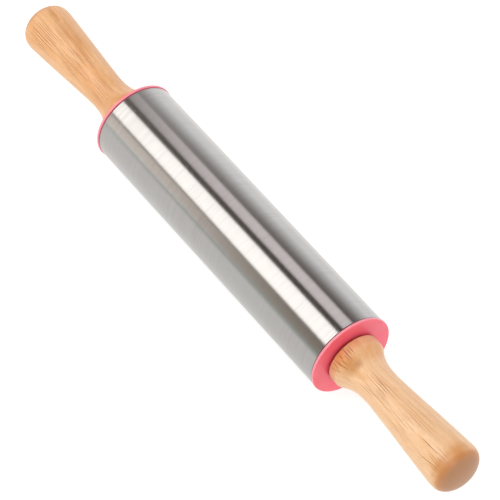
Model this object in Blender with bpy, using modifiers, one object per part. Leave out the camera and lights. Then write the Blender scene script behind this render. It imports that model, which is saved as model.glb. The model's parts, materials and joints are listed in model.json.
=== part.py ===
# Revolving rolling pin: a stainless barrel that turns on two ball bearings between turned wooden handles.
# The pin lies along X with its middle at the origin and Z up. Every length is in metres.
# Each end is drawn from the outer face of its cap, with X pointing outwards, away from the barrel.

import math

import bmesh
import bpy
from mathutils import Matrix

# Clearances
seat_gap = 0.0003
running_gap = 0.0005
cut_overrun = 0.0010
weld_distance = 0.000001

# Barrel
barrel_length = 0.2016
barrel_radius = 0.0250
barrel_wall = 0.0010
barrel_edge_break = 0.0003

# End cap
flange_thickness = 0.0017
flange_stand_out = 0.0004
flange_rim_round = 0.0010
flange_back_break = 0.0002
skirt_depth = 0.0140
skirt_wall = 0.0020
skirt_lead_in = 0.0008
hub_wall = 0.0022
lip_thickness = 0.0012
lip_catch = 0.0005
rib_thickness = 0.0016
rib_depth = 0.0060
rib_bite = 0.0004

# Ball bearing
bearing_width = 0.0070
inner_ring_wall = 0.0011
outer_ring_wall = 0.0013
ball_radius = 0.0020
ball_play = 0.00015
groove_depth = 0.0009
cage_play = 0.0004
cage_back_play = 0.0003
cage_wrap_share = 0.6
shield_thickness = 0.0003
shield_seat = 0.0009
shield_play = 0.00035

# Axle
axle_radius = 0.0040
axle_past_insert = 0.0040
axle_tip_chamfer = 0.0006
clip_groove_depth = 0.0005

# Retaining ring
clip_thickness = 0.0010
clip_relief = 0.0008
clip_band = 0.0016
clip_opening_share = 0.20
clip_prong_share = 0.10

# Sleeve, washer and insert between bearing and handle
sleeve_wall = 0.0013
washer_radius = 0.0075
washer_thickness = 0.0012
insert_length = 0.0180
insert_wall = 0.0013
insert_barb = 0.0006

# Handle, with the neck's distance measured from its foot
handle_length = 0.0958
foot_gap = 0.0014
foot_round = 0.0008
collar_radius = 0.0159
collar_length = 0.0073
collar_round = 0.0020
collar_turn_share = 0.38
neck_radius = 0.01075
neck_distance = 0.0270
grip_radius = 0.0151
grip_straight = 0.0023
swell_bend_share = 0.13
dome_length = 0.0093
dome_fullness = 2.18
drill_point = 0.0024

# Counts
barrel_facets = 40
handle_facets = 28
axle_facets = 24
ball_count = 7
ball_segments = 10
ball_rings = 6
rib_count = 6
barb_count = 3
pocket_facets = 16
groove_steps = 4
rim_steps = 3
collar_steps = 3
cove_steps = 6
swell_steps = 6
dome_steps = 6
clip_steps = 4
sharp_angle = math.radians(32)

# Places that follow from the sizes, measured from the outer face of the cap
cap_face = barrel_length / 2 + seat_gap + flange_thickness
bearing_outboard = -flange_thickness - seat_gap
bearing_middle = bearing_outboard - bearing_width / 2
bearing_inboard = bearing_outboard - bearing_width
hub_end = bearing_inboard - seat_gap - lip_thickness
clip_outboard = bearing_inboard - seat_gap
clip_inboard = clip_outboard - clip_thickness
foot = foot_gap
counterbore_end = foot + washer_thickness + seat_gap
insert_end = counterbore_end + insert_length
axle_tip = insert_end + axle_past_insert

# Radii that follow from the sizes
bore_radius = axle_radius + seat_gap
inner_groove_radius = bore_radius + inner_ring_wall
pitch_radius = inner_groove_radius + ball_play + ball_radius
outer_groove_radius = pitch_radius + ball_radius + ball_play
bearing_radius = outer_groove_radius + outer_ring_wall
inner_shoulder = inner_groove_radius + groove_depth
outer_shoulder = outer_groove_radius - groove_depth
pocket_radius = bearing_radius + seat_gap
hub_radius = pocket_radius + hub_wall
skirt_radius = barrel_radius - barrel_wall - seat_gap
skirt_bore = skirt_radius - skirt_wall
sleeve_radius = bore_radius + sleeve_wall
insert_radius = bore_radius + insert_wall
insert_bore = insert_radius + insert_barb + seat_gap


def clear_scene():
    for obj in list(bpy.data.objects):
        bpy.data.objects.remove(obj, do_unlink=True)


def new_collection(name):
    collection = bpy.data.collections.new(name)
    bpy.context.scene.collection.children.link(collection)
    return collection


def new_material(name, colour, metallic, roughness):
    material = bpy.data.materials.new(name)
    material.use_nodes = True
    material.diffuse_color = (*colour, 1.0)
    shader = material.node_tree.nodes["Principled BSDF"]
    shader.inputs["Base Color"].default_value = (*colour, 1.0)
    shader.inputs["Metallic"].default_value = metallic
    shader.inputs["Roughness"].default_value = roughness
    return material


def new_empty(name, along=0.0, turned_round=False, parent=None):
    empty = bpy.data.objects.new(name, None)
    empty.location.x = along
    empty.rotation_euler.z = math.pi if turned_round else 0.0
    empty.parent = parent
    parts.objects.link(empty)
    return empty


def place(name, mesh, parent, along=0.0):
    obj = bpy.data.objects.new(name, mesh)
    obj.location.x = along
    obj.parent = parent
    parts.objects.link(obj)
    return obj


def finished_mesh(obj, name, material):
    # The object's shape with its modifiers, welded, faces outwards, smooth but for its hard edges
    bpy.context.view_layer.update()
    graph = bpy.context.evaluated_depsgraph_get()
    mesh = bpy.data.meshes.new_from_object(obj.evaluated_get(graph))
    shape = bmesh.new()
    shape.from_mesh(mesh)
    bmesh.ops.remove_doubles(shape, verts=shape.verts, dist=weld_distance)
    bmesh.ops.recalc_face_normals(shape, faces=shape.faces)
    shape.to_mesh(mesh)
    shape.free()
    mesh.name = name
    mesh.materials.clear()
    mesh.materials.append(material)
    mesh.shade_smooth()
    mesh.set_sharp_from_angle(angle=sharp_angle)
    bpy.data.objects.remove(obj, do_unlink=True)
    return mesh


def turned_object(name, outline, facets):
    # A profile of (distance along X, radius) turned about X. A flat facet faces straight down.
    # A profile that starts and ends on the axis stays open there, and any other one is closed.
    start = math.pi / facets
    points = [(x, r * math.cos(start), r * math.sin(start)) for x, r in outline]
    edges = [(i, i + 1) for i in range(len(points) - 1)]
    if outline[0][1] > 0 or outline[-1][1] > 0:
        edges.append((len(points) - 1, 0))
    profile = bpy.data.meshes.new(name)
    profile.from_pydata(points, edges, [])
    obj = bpy.data.objects.new(name, profile)
    parts.objects.link(obj)
    screw = obj.modifiers.new("Turn", "SCREW")
    screw.axis = "X"
    screw.angle = math.tau
    screw.steps = facets
    screw.render_steps = facets
    screw.use_merge_vertices = True
    screw.merge_threshold = weld_distance
    return obj


def turned(name, outline, facets, material):
    return finished_mesh(turned_object(name, outline, facets), name, material)


def arc(centre_x, centre_r, radius, first, last, steps):
    # Points of a circle's arc. Angle 0 points along +X and a quarter turn points away from the axis.
    angles = [first + (last - first) * i / steps for i in range(steps + 1)]
    return [(centre_x + radius * math.cos(a), centre_r + radius * math.sin(a)) for a in angles]


def ring_outline(start, end, inner, outer):
    return [(start, inner), (start, outer), (end, outer), (end, inner)]


def joined(name, base, other, operation):
    # The base with the other object joined to it or cut out of it
    other.hide_render = True
    other.display_type = "WIRE"
    boolean = base.modifiers.new(name, "BOOLEAN")
    boolean.operation = operation
    boolean.solver = "EXACT"
    boolean.object = other
    return base


def tool_object(name, shape):
    mesh = bpy.data.meshes.new(name)
    shape.to_mesh(mesh)
    shape.free()
    obj = bpy.data.objects.new(name, mesh)
    cutters.objects.link(obj)
    return obj


def make_barrel(material):
    half = barrel_length / 2
    bore = barrel_radius - barrel_wall
    outline = [
        (-half, bore),
        (-half, barrel_radius - barrel_edge_break),
        (-half + barrel_edge_break, barrel_radius),
        (half - barrel_edge_break, barrel_radius),
        (half, barrel_radius - barrel_edge_break),
        (half, bore),
    ]
    place("barrel_tube", turned("barrel_tube", outline, barrel_facets, material), roller)


def cap_ribs():
    # Flat ribs that tie the bearing hub to the skirt
    reach = skirt_bore - hub_radius + 2 * rib_bite
    middle = (skirt_bore + hub_radius) / 2
    shape = bmesh.new()
    for i in range(rib_count):
        turn = Matrix.Rotation(math.tau * i / rib_count, 4, "X")
        shift = Matrix.Translation((-flange_thickness + (rib_bite - rib_depth) / 2, 0, middle))
        size = Matrix.Diagonal((rib_depth + rib_bite, rib_thickness, reach, 1))
        bmesh.ops.create_cube(shape, size=1, matrix=turn @ shift @ size)
    return tool_object("cap_ribs", shape)


def cap_mesh(material):
    rim = barrel_radius + flange_stand_out
    skirt_end = -flange_thickness - skirt_depth
    hole = sleeve_radius + running_gap
    lip = bearing_radius - lip_catch
    outline = [(0, hole)]
    outline += arc(-flange_rim_round, rim - flange_rim_round, flange_rim_round, 0, math.pi / 2, rim_steps)
    outline += [
        (-flange_thickness + flange_back_break, rim),
        (-flange_thickness, rim - flange_back_break),
        (-flange_thickness, skirt_radius),
        (skirt_end + skirt_lead_in, skirt_radius),
        (skirt_end, skirt_radius - skirt_lead_in),
        (skirt_end, skirt_bore),
        (-flange_thickness, skirt_bore),
        (-flange_thickness, hub_radius),
        (hub_end, hub_radius),
        (hub_end, pocket_radius),
        (hub_end + lip_thickness / 2, lip),
        (hub_end + lip_thickness, lip),
        (hub_end + lip_thickness, pocket_radius),
        (-flange_thickness, pocket_radius),
        (-flange_thickness, hole),
    ]
    # The ribs bite into the hub, the skirt and the back of the flange
    shell = turned_object("end_cap", outline, barrel_facets)
    return finished_mesh(joined("Ribs", shell, cap_ribs(), "UNION"), "end_cap", material)


def half_axle_outline():
    # From the middle outwards, with the groove of the retaining ring
    groove = axle_radius - clip_groove_depth
    inboard = cap_face + clip_inboard - seat_gap
    outboard = cap_face + clip_outboard + seat_gap
    tip = cap_face + axle_tip
    return [
        (inboard, axle_radius),
        (inboard, groove),
        (outboard, groove),
        (outboard, axle_radius),
        (tip - axle_tip_chamfer, axle_radius),
        (tip, axle_radius - axle_tip_chamfer),
        (tip, 0),
    ]


def make_axle(material):
    right = half_axle_outline()
    left = [(-x, r) for x, r in reversed(right)]
    place("axle_rod", turned("axle_rod", left + right, axle_facets, material), handle_frame)


def groove_arc(outwards):
    # The ball track across a ring, from -X to +X, centred on the balls
    track = ball_radius + ball_play
    rise = math.acos((track - groove_depth) / track)
    towards = math.pi / 2 if outwards else -math.pi / 2
    side = 1 if outwards else -1
    return arc(0, pitch_radius, track, towards + side * rise, towards - side * rise, groove_steps)


def inner_ring_mesh(material):
    half = bearing_width / 2
    outline = [(-half, bore_radius), (-half, inner_shoulder)]
    outline += groove_arc(False)
    outline += [(half, inner_shoulder), (half, bore_radius)]
    return turned("bearing_inner_ring", outline, axle_facets, material)


def outer_ring_mesh(material):
    half = bearing_width / 2
    step = half - shield_thickness - seat_gap
    recess = outer_shoulder + shield_seat
    outline = [(-half, bearing_radius), (-half, recess), (-step, recess), (-step, outer_shoulder)]
    outline += groove_arc(True)
    outline += [(step, outer_shoulder), (step, recess), (half, recess), (half, bearing_radius)]
    return turned("bearing_outer_ring", outline, axle_facets, material)


def shield_mesh(material):
    inner = inner_shoulder + shield_play
    outer = outer_shoulder + shield_seat - seat_gap
    outline = ring_outline(-shield_thickness / 2, shield_thickness / 2, inner, outer)
    return turned("bearing_shield", outline, axle_facets, material)


def cage_pockets():
    # One radial hole for each ball, wide enough to let it turn
    pocket = ball_radius + ball_play
    depth = outer_shoulder - inner_shoulder + 2 * cut_overrun
    shape = bmesh.new()
    for i in range(ball_count):
        turn = Matrix.Rotation(math.tau * i / ball_count, 4, "X")
        out = Matrix.Translation((0, 0, pitch_radius))
        bmesh.ops.create_cone(
            shape,
            cap_ends=True,
            segments=pocket_facets,
            radius1=pocket,
            radius2=pocket,
            depth=depth,
            matrix=turn @ out,
        )
    return tool_object("cage_pockets", shape)


def cage_mesh(material):
    # A crown cage: a closed back towards the barrel, and pockets that open outboard past the ball's middle
    back = -bearing_width / 2 + shield_thickness + cage_back_play
    front = ball_radius * cage_wrap_share
    outline = ring_outline(back, front, inner_shoulder + cage_play, outer_shoulder - cage_play)
    ring = turned_object("bearing_cage", outline, axle_facets)
    return finished_mesh(joined("Pockets", ring, cage_pockets(), "DIFFERENCE"), "bearing_cage", material)


def ball_mesh(material):
    shape = bmesh.new()
    bmesh.ops.create_uvsphere(shape, u_segments=ball_segments, v_segments=ball_rings, radius=ball_radius)
    mesh = bpy.data.meshes.new("bearing_ball")
    shape.to_mesh(mesh)
    shape.free()
    mesh.materials.append(material)
    mesh.shade_smooth()
    return mesh


def clip_outline():
    # An open ring with three prongs that reach into the groove: one at each end and one opposite the opening
    prong = axle_radius - clip_groove_depth + seat_gap
    relief = axle_radius + clip_relief
    outer = relief + clip_band
    opening = math.pi * clip_opening_share
    width = math.pi * clip_prong_share
    first_end = opening + 2 * width
    spans = [
        (opening, first_end, prong),
        (first_end, math.pi - width, relief),
        (math.pi - width, math.pi + width, prong),
        (math.pi + width, math.tau - first_end, relief),
        (math.tau - first_end, math.tau - opening, prong),
    ]
    outer_steps = clip_steps * len(spans)
    points = []
    for i in range(outer_steps + 1):
        angle = math.tau - opening - (math.tau - 2 * opening) * i / outer_steps
        points.append((outer * math.cos(angle), outer * math.sin(angle), 0))
    for first, last, radius in spans:
        for i in range(clip_steps + 1):
            angle = first + (last - first) * i / clip_steps
            points.append((radius * math.cos(angle), radius * math.sin(angle), 0))
    return points


def clip_mesh(material):
    curve = bpy.data.curves.new("retaining_ring", "CURVE")
    curve.dimensions = "2D"
    curve.fill_mode = "BOTH"
    curve.extrude = clip_thickness / 2
    points = clip_outline()
    spline = curve.splines.new("POLY")
    spline.points.add(len(points) - 1)
    for point, place_at in zip(spline.points, points):
        point.co = (*place_at, 1)
    spline.use_cyclic_u = True
    obj = bpy.data.objects.new("retaining_ring", curve)
    parts.objects.link(obj)
    mesh = finished_mesh(obj, "retaining_ring", material)
    # The flat ring stands across the axle, with its opening downwards
    mesh.transform(Matrix.Rotation(math.pi / 2, 4, "Y"))
    return mesh


def washer_mesh(material):
    outline = ring_outline(0, washer_thickness, bore_radius, washer_radius)
    return turned("clamp_washer", outline, axle_facets, material)


def sleeve_mesh(material):
    # It fills the space between the bearing's inner ring and the washer
    length = foot - seat_gap - (bearing_outboard + seat_gap)
    outline = ring_outline(0, length, bore_radius, sleeve_radius)
    return turned("spacer_sleeve", outline, axle_facets, material)


def insert_mesh(material):
    # Barbs that grip the wood: each rises slowly outboard and ends in a step towards the foot
    pitch = insert_length / barb_count
    outline = [(0, bore_radius)]
    for i in range(barb_count):
        outline.append((pitch * i, insert_radius + insert_barb))
        outline.append((pitch * (i + 1), insert_radius))
    outline.append((insert_length, bore_radius))
    return turned("threaded_insert", outline, axle_facets, material)


def foot_outline():
    # From the drill point out through the bores for axle, insert and washer to the round edge of the foot
    pilot_end = axle_tip + seat_gap
    pilot = axle_radius + seat_gap
    counterbore = washer_radius + seat_gap
    insert_floor = insert_end + seat_gap
    return [
        (pilot_end + drill_point, 0),
        (pilot_end, pilot),
        (insert_floor, pilot),
        (insert_floor, insert_bore),
        (counterbore_end, insert_bore),
        (counterbore_end, counterbore),
        (foot, counterbore),
    ]


def collar_and_cove_outline():
    # The round edge of the foot, the plain collar, the soft round at its end and the cove down to the neck
    turn = math.pi / 2 * collar_turn_share
    round_start = foot + collar_length - collar_round * math.sin(turn)
    round_centre = collar_radius - collar_round
    foot_centre = collar_radius - foot_round
    points = arc(foot + foot_round, foot_centre, foot_round, math.pi, math.pi / 2, rim_steps)
    points += arc(round_start, round_centre, collar_round, math.pi / 2, math.pi / 2 - turn, collar_steps)
    # The cove leaves the round at the round's own slope and runs out flat at the neck
    cove_start, cove_edge = points[-1]
    length = foot + neck_distance - cove_start
    depth = cove_edge - neck_radius
    sweep = math.tan(turn) * length / depth
    for i in range(1, cove_steps + 1):
        share = i / cove_steps
        points.append((cove_start + length * share, neck_radius + depth * (1 - share) ** sweep))
    return points


def grip_outline():
    # From the neck the grip swells, part straight and part in a soft wave, runs on and ends in a low dome
    rise = grip_radius - neck_radius
    dome_start = foot + handle_length - dome_length
    length = dome_start - grip_straight - (foot + neck_distance)
    points = []
    for i in range(1, swell_steps + 1):
        share = i / swell_steps
        wave = (1 - math.cos(math.pi * share)) / 2
        bend = share + (wave - share) * swell_bend_share
        points.append((foot + neck_distance + length * share, neck_radius + rise * bend))
    for i in range(dome_steps + 1):
        angle = math.pi / 2 * i / dome_steps
        x = dome_start + dome_length * math.sin(angle) ** (2 / dome_fullness)
        r = grip_radius * max(math.cos(angle), 0) ** (2 / dome_fullness) if i < dome_steps else 0
        points.append((x, r))
    return points


def handle_mesh(material):
    outline = foot_outline() + collar_and_cove_outline() + grip_outline()
    return turned("handle", outline, handle_facets, material)


def make_end(side, end, roller_end, meshes):
    # The fixed pieces of one end hang on the handle frame, and the turning ones on the roller
    place("handle_" + side, meshes["handle"], end)
    place("threaded_insert_" + side, meshes["insert"], end, counterbore_end)
    place("clamp_washer_" + side, meshes["washer"], end, foot)
    place("spacer_sleeve_" + side, meshes["sleeve"], end, bearing_outboard + seat_gap)
    place("retaining_ring_" + side, meshes["clip"], end, clip_inboard + clip_thickness / 2)
    place("bearing_inner_ring_" + side, meshes["inner_ring"], end, bearing_middle)
    place("end_cap_" + side, meshes["cap"], roller_end)
    place("bearing_outer_ring_" + side, meshes["outer_ring"], roller_end, bearing_middle)
    shield_middle = (bearing_width - shield_thickness) / 2
    place("bearing_shield_outboard_" + side, meshes["shield"], roller_end, bearing_middle + shield_middle)
    place("bearing_shield_inboard_" + side, meshes["shield"], roller_end, bearing_middle - shield_middle)
    cage = new_empty("cage_axis_" + side, bearing_middle, parent=end)
    place("bearing_cage_" + side, meshes["cage"], cage)
    for i in range(ball_count):
        angle = math.tau * i / ball_count
        ball = place("bearing_ball_" + side + "_" + str(i + 1), meshes["ball"], cage)
        ball.location = (0, -pitch_radius * math.sin(angle), pitch_radius * math.cos(angle))


clear_scene()
parts = new_collection("rolling_pin")
cutters = new_collection("cutters")

stainless = new_material("brushed_stainless", (0.48, 0.46, 0.45), 1.0, 0.30)
pink = new_material("pink_plastic", (0.82, 0.15, 0.19), 0.0, 0.38)
wood = new_material("turned_rubberwood", (0.85, 0.50, 0.25), 0.0, 0.45)
rod_steel = new_material("drawn_steel", (0.55, 0.55, 0.56), 1.0, 0.28)
ring_steel = new_material("ground_bearing_steel", (0.62, 0.62, 0.64), 1.0, 0.18)
ball_steel = new_material("polished_ball_steel", (0.72, 0.72, 0.74), 1.0, 0.08)
shield_steel = new_material("pressed_shield_steel", (0.50, 0.50, 0.51), 1.0, 0.35)
spring_steel = new_material("phosphated_spring_steel", (0.06, 0.06, 0.06), 0.8, 0.45)
zinc_steel = new_material("zinc_plated_steel", (0.60, 0.62, 0.64), 1.0, 0.30)
nylon = new_material("cage_nylon", (0.78, 0.75, 0.62), 0.0, 0.50)
brass = new_material("turned_brass", (0.75, 0.52, 0.20), 1.0, 0.28)

handle_frame = new_empty("handle_frame")
roller = new_empty("roller_axis")
make_barrel(stainless)
make_axle(rod_steel)

shared = {
    "handle": handle_mesh(wood),
    "insert": insert_mesh(brass),
    "washer": washer_mesh(zinc_steel),
    "sleeve": sleeve_mesh(zinc_steel),
    "clip": clip_mesh(spring_steel),
    "inner_ring": inner_ring_mesh(ring_steel),
    "outer_ring": outer_ring_mesh(ring_steel),
    "shield": shield_mesh(shield_steel),
    "cage": cage_mesh(nylon),
    "ball": ball_mesh(ball_steel),
    "cap": cap_mesh(pink),
}
for side, sign in (("right", 1), ("left", -1)):
    end = new_empty("end_" + side, sign * cap_face, sign < 0, handle_frame)
    roller_end = new_empty("roller_end_" + side, sign * cap_face, sign < 0, roller)
    make_end(side, end, roller_end, shared)
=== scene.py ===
# Rolling pin: brushed stainless barrel, coral pink end caps, turned rubberwood handles.
# Metres, in the frame's axes: the pin lies along X, and its +X end is the near one in the photo.
import json
import math
import random

import bmesh
import bpy
from mathutils import Matrix, Vector

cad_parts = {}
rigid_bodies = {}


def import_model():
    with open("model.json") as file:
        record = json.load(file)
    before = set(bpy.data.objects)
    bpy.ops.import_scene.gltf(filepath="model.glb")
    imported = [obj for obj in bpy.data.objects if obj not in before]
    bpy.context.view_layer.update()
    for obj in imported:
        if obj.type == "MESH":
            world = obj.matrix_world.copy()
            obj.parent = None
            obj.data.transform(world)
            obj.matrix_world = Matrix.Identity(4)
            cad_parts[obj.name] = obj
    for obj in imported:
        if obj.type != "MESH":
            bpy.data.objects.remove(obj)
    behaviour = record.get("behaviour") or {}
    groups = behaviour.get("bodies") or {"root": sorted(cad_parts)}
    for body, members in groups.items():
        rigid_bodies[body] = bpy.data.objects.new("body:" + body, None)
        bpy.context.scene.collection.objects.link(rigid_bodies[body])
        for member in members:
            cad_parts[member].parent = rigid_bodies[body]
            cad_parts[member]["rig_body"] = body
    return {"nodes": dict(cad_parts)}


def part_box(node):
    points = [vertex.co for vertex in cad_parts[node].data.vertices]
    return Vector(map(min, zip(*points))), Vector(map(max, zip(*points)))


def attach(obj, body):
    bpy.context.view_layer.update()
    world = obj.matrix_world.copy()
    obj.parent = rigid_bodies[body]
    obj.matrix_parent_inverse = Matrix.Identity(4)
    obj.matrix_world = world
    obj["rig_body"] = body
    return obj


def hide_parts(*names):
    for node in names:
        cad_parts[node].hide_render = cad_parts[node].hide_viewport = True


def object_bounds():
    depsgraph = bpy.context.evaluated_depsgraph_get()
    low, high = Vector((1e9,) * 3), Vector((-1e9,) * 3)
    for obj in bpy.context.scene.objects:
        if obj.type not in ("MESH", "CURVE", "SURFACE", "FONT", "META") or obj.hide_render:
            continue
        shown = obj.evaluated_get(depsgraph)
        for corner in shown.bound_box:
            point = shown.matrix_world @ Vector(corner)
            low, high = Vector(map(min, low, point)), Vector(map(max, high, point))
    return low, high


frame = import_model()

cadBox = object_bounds()
print("frame loaded:", len(frame["nodes"]), "nodes")

ends = (("right", 1), ("left", -1))
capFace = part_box("end_cap_right")[1].x  # outer face of the near cap; each end is measured from its own
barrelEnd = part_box("barrel_tube")[1].x
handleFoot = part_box("handle_right")[0].x - capFace
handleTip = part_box("handle_right")[1].x - capFace
floorHeight = cadBox[0].z
seatGap = 0.0003  # what fixed neighbours keep between them in the frame
sharpAngle = math.radians(32)  # an edge that turns more than this is shaded sharp
weldDistance = 0.0000001  # corners nearer than this are one corner
tinyDistance = 0.000001  # nearer than this to the axis is on it


def linkObject(name, data):
    item = bpy.data.objects.new(name, data)
    bpy.context.scene.collection.objects.link(item)
    return item


def meshFrom(shape, name):
    mesh = bpy.data.meshes.new(name)
    shape.to_mesh(mesh)
    shape.free()
    return mesh


def shadeRound(mesh):
    mesh.shade_smooth()
    mesh.set_sharp_from_angle(angle=sharpAngle)
    return mesh


def bakedMesh(item):
    # the mesh that an object shows with its modifiers or curve settings
    bpy.context.view_layer.update()
    return bpy.data.meshes.new_from_object(item.evaluated_get(bpy.context.evaluated_depsgraph_get()))


def linearFromHex(code):
    # a colour picker's sRGB hex to the linear colour that shaders work in
    channels = [int(code[i:i + 2], 16) / 255 for i in (1, 3, 5)]
    return [c / 12.92 if c <= 0.04045 else ((c + 0.055) / 1.055) ** 2.4 for c in channels] + [1.0]


def rampStops(tones):
    return [(position, linearFromHex(code)) for position, code in tones]


def addNode(tree, kind, values=None, links=None, stops=None, **settings):
    # kind is the node's type without ShaderNode before it
    node = tree.nodes.new("ShaderNode" + kind)
    for name, value in settings.items():
        setattr(node, name, value)
    for socket, value in (values or {}).items():
        node.inputs[socket].default_value = value
    for socket, source in (links or {}).items():
        tree.links.new(source, node.inputs[socket])
    for i, (position, colour) in enumerate(stops or []):
        elements = node.color_ramp.elements
        element = elements[i] if i < 2 else elements.new(position)
        element.position = position
        element.color = colour
    return node


def startMaterial(name, values):
    # what is the same all over the surface is set on the shader's own sockets
    material = bpy.data.materials.new(name)
    material.use_nodes = True
    tree = material.node_tree
    shader = tree.nodes["Principled BSDF"]
    for socket, value in values.items():
        shader.inputs[socket].default_value = value
    return material, tree, shader, addNode(tree, "TexCoord").outputs["Object"]


def layColours(tree, colour, layers):
    # each layer is where it shows and its hex colour; they go over the first colour in this order
    for share, code in layers:
        colour = addNode(
            tree, "MixRGB", {"Color2": linearFromHex(code)}, {"Fac": share, "Color1": colour},
        ).outputs[0]
    return colour


def finishSurface(tree, shader, look, colour, pattern, band=(0.0, 1.0), relief=None):
    # over this band of the pattern, the roughness goes from the look's first value to its second; the
    # pattern is the relief too, unless another is given
    rough = addNode(
        tree, "MapRange",
        {
            "From Min": band[0], "From Max": band[1],
            "To Min": look["roughness"][0], "To Max": look["roughness"][1],
        },
        {"Value": pattern},
    )
    bump = addNode(
        tree, "Bump", {"Strength": 1.0, "Distance": look["relief"]}, {"Height": relief or pattern},
    )
    tree.links.new(colour, shader.inputs["Base Color"])
    tree.links.new(rough.outputs[0], shader.inputs["Roughness"])
    tree.links.new(bump.outputs[0], shader.inputs["Normal"])


def arcPoints(centreX, centreR, radius, fromDegrees, toDegrees, steps):
    # an arc in (distance along X, radius): 0 degrees points along X and 90 away from the axis
    angles = [math.radians(fromDegrees + (toDegrees - fromDegrees) * i / steps) for i in range(steps + 1)]
    return [(centreX + radius * math.cos(a), centreR + radius * math.sin(a)) for a in angles]


def boxOutline(start, end, inner, outer, edge):
    # a ring's section, with its four edges broken round
    steps = 3
    points = arcPoints(start + edge, inner + edge, edge, 270, 180, steps)
    points += arcPoints(start + edge, outer - edge, edge, 180, 90, steps)
    points += arcPoints(end - edge, outer - edge, edge, 90, 0, steps)
    return points + arcPoints(end - edge, inner + edge, edge, 0, -90, steps)


def turnedMesh(name, outline, segments):
    # turns an outline about X; the UV map has U along the outline and V round the axis
    shape = bmesh.new()
    runLayer = shape.verts.layers.float.new("run")
    uvLayer = shape.loops.layers.uv.new("turned")
    run = 0.0
    corners = []
    for i, (x, radius) in enumerate(outline):
        if i:
            run += math.dist(outline[i - 1], outline[i])
        corners.append(shape.verts.new((x, radius, 0)))
        corners[-1][runLayer] = run
    edges = [shape.edges.new(pair) for pair in zip(corners, corners[1:])]
    if outline[0][1] > 0:
        edges.append(shape.edges.new((corners[-1], corners[0])))
        run += math.dist(outline[-1], outline[0])
    bmesh.ops.spin(
        shape, geom=corners + edges, axis=(1, 0, 0), cent=(0, 0, 0),
        angle=math.tau, steps=segments, use_merge=True,
    )
    bmesh.ops.remove_doubles(shape, verts=shape.verts, dist=weldDistance)
    bmesh.ops.recalc_face_normals(shape, faces=shape.faces)
    for face in shape.faces:
        middle = face.calc_center_median()
        faceTurn = math.atan2(middle.z, middle.y) / math.tau
        furthest = max(loop.vert[runLayer] for loop in face.loops)
        for loop in face.loops:
            place = loop.vert.co
            turn = faceTurn
            if math.hypot(place.y, place.z) > tinyDistance:
                turn = math.atan2(place.z, place.y) / math.tau
                turn += round(faceTurn - turn)
            along = loop.vert[runLayer]
            if furthest - along > run / 2:
                along += run
            loop[uvLayer].uv = (along / run, turn)
    return shadeRound(meshFrom(shape, name))


def joinOrCut(mesh, tool, operation):
    # the mesh with a tool joined to it or cut out of it, as a new mesh; the tool is used up
    base = linkObject(mesh.name, mesh)
    other = linkObject(tool.name, tool)
    boolean = base.modifiers.new("tool", "BOOLEAN")
    boolean.operation = operation
    boolean.object = other
    result = bakedMesh(base)
    result.name = mesh.name
    bpy.data.objects.remove(base)
    bpy.data.objects.remove(other)
    return shadeRound(result)


def putPiece(node, mesh, material, side=0, along=0.0, off=(0.0, 0.0)):
    # the finer piece takes the place of its CAD node; the far end's pieces are turned round about Z
    piece = linkObject(node + ".fine", mesh)
    mesh.materials.clear()
    mesh.materials.append(material)
    piece.location = (side * (capFace + along), side * off[0], off[1])
    piece.rotation_euler.z = math.pi if side < 0 else 0.0
    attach(piece, frame["nodes"][node]["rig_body"])
    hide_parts(node)


# Camera, at the photo's angle and distance

photoView = {
    "lens": 213.67,  # on a 36 mm sensor: a long lens, so the perspective is weak
    "azimuth": 54.47,
    "elevation": 50.66,
    "distance": 1.628,
    "across": 0.0060,
    "down": 0.0085,
}


def aimCamera(view):
    turn = math.radians(view["azimuth"])
    lift = math.radians(view["elevation"])
    right = Vector((math.cos(turn), math.sin(turn), 0))
    back = Vector((math.sin(turn) * math.cos(lift), -math.cos(turn) * math.cos(lift), math.sin(lift)))
    up = back.cross(right)
    camera = linkObject("photoCamera", bpy.data.cameras.new("photoCamera"))
    camera.data.lens = view["lens"]
    place = back * view["distance"] + right * view["across"] - up * view["down"]
    camera.matrix_world = Matrix.Translation(place) @ Matrix((right, up, back)).transposed().to_4x4()
    bpy.context.scene.camera = camera


aimCamera(photoView)
print("camera aimed")


# Studio: softboxes along the pin, a backdrop that darkens upwards, a glowing white table

softboxes = {
    # around and width: degrees about the pin from +Y (the picture's upper right) over the top to -Y
    # start and end: where the softbox begins and ends along X; glow: its radiance
    "keySoftbox": {
        "around": 122.0, "width": 41.0, "start": -1.35, "end": 0.55, "glow": 1.80, "tint": "#fffdfc",
    },
    "overheadStrip": {
        "around": 72.8, "width": 26.6, "start": -0.75, "end": 0.40, "glow": 0.95, "tint": "#fff7fb",
    },
    "sideSoftbox": {
        "around": 162.1, "width": 27.3, "start": -1.30, "end": -0.50, "glow": 0.76, "tint": "#fff5f1",
    },
}
softboxDistance = 0.85
wattsPerGlow = 4  # a square metre of area light needs four watts for a radiance of one
frontFill = {"place": (1.55, -0.32, 0.95), "size": 0.7, "glow": 4.4, "tint": "#fffdfd"}

backdrop = {
    # height (the sine of the elevation), glow and tint, behind the pin and in front of it
    "behind": [
        (0.0, 1.40, "#fdfdff"), (0.11, 1.36, "#fdfdff"), (0.23, 1.15, "#fdfdff"), (0.33, 0.97, "#fffdff"),
        (0.51, 0.62, "#fffafa"), (0.66, 0.26, "#fff2ec"), (0.80, 0.07, "#ffd9bc"), (1.0, 0.045, "#ffd2b0"),
    ],
    "before": [
        (0.0, 0.80, "#f6fffa"), (0.04, 0.71, "#f8fffb"), (0.10, 0.53, "#fafcf6"), (0.16, 0.42, "#fff2e0"),
        (0.50, 0.27, "#ffebd6"), (0.80, 0.08, "#ffd9bc"), (1.0, 0.045, "#ffd2b0"),
    ],
    "brightest": 1.40,
    "change": 0.25,  # the sine of the angle to each side over which one turns into the other
}


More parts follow.
